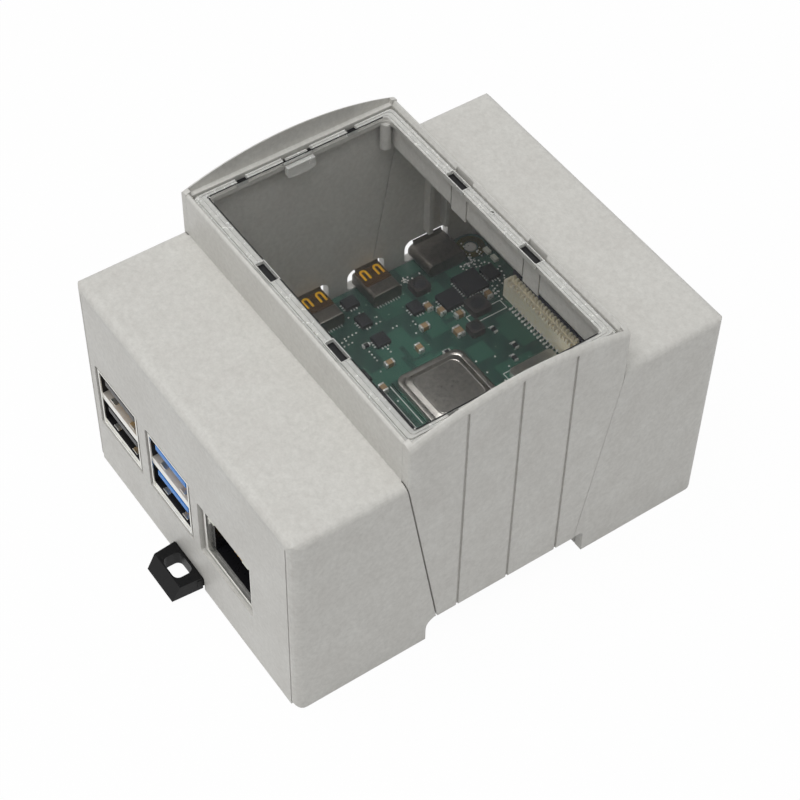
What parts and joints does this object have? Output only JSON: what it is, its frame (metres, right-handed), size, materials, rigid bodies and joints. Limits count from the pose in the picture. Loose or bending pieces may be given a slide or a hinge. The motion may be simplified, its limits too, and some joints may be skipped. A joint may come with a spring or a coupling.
{
  "type": "din rail enclosure",
  "caption": "Grey rail-mounted enclosure with stepped shoulders, a raised arched front with a clear window, socket cut-outs, a sprung rail clip and a small computer board inside.",
  "frame": {"origin": "centre of the rail seat, the flat face that rests on the mounting rail", "axes": "+X along the rail, +Y across the rail from the socket end to the closed end, +Z away from the rail towards the window"},
  "size_m": [0.071, 0.0965, 0.0615],
  "materials": {
    "shell_plastic": "fine spark-textured moulded ABS, warm light grey",
    "clear_plastic": "clear polycarbonate, polished",
    "clip_plastic": "black nylon",
    "board_laminate": "green solder mask",
    "lid_metal": "nickel-plated lid, satin",
    "chip_resin": "black moulding resin",
    "tinned_steel": "tinned steel",
    "black_insert": "black moulded plastic",
    "blue_insert": "blue moulded plastic",
    "brown_insert": "dark brown moulded plastic",
    "gold_contact": "gold flash",
    "cream_plastic": "cream moulded plastic",
    "latch_plastic": "dark brown moulded plastic",
    "inductor_ferrite": "pressed ferrite",
    "capacitor_ceramic": "fired ceramic",
    "resistor_film": "coated film",
    "light_lens": "clear cast lens"
  },
  "bodies": {
    "enclosure": {"base": "shell_plastic", "cover": "shell_plastic", "socket_end_panel": "shell_plastic", "closed_end_panel": "shell_plastic", "circuit_board": "board_laminate", "processor_substrate": "board_laminate", "processor_lid": "lid_metal", "memory_chip": "chip_resin", "usb_controller_chip": "chip_resin", "network_chip": "chip_resin", "power_chip": "chip_resin", "small_chips": "chip_resin", "radio_shield": "tinned_steel", "usb2_stack_shell": "tinned_steel", "usb2_stack_tongues": "black_insert", "usb3_stack_shell": "tinned_steel", "usb3_stack_tongues": "blue_insert", "network_jack_shell": "tinned_steel", "network_jack_insert": "black_insert", "network_jack_contacts": "gold_contact", "power_socket_shell": "tinned_steel", "power_socket_tongue": "black_insert", "video_socket_a_shell": "tinned_steel", "video_socket_a_tongue": "brown_insert", "video_socket_b_shell": "tinned_steel", "video_socket_b_tongue": "brown_insert", "audio_jack": "black_insert", "display_connector_body": "cream_plastic", "display_connector_latch": "latch_plastic", "display_connector_contacts": "tinned_steel", "camera_connector_body": "cream_plastic", "camera_connector_latch": "latch_plastic", "camera_connector_contacts": "tinned_steel", "pin_header_base": "black_insert", "pin_header_pins": "gold_contact", "fan_header_base": "black_insert", "fan_header_pins": "gold_contact", "inductors": "inductor_ferrite", "capacitors": "capacitor_ceramic", "resistors": "resistor_film", "crystals": "tinned_steel", "card_socket": "tinned_steel", "status_lights": "light_lens"},
    "window": {"window_panel": "clear_plastic"},
    "clip": {"rail_clip": "clip_plastic"}
  },
  "joints": [
    {"name": "clip_pull", "type": "slide", "parent": "enclosure", "child": "clip", "axis": [0, -1, 0], "range_m": [0, 0.003], "stiffness_N_per_m": 1200},
    {"name": "window_lift", "type": "slide", "parent": "enclosure", "child": "window", "axis": [0, 0, 1], "range_m": [0, 0.02]}
  ]
}
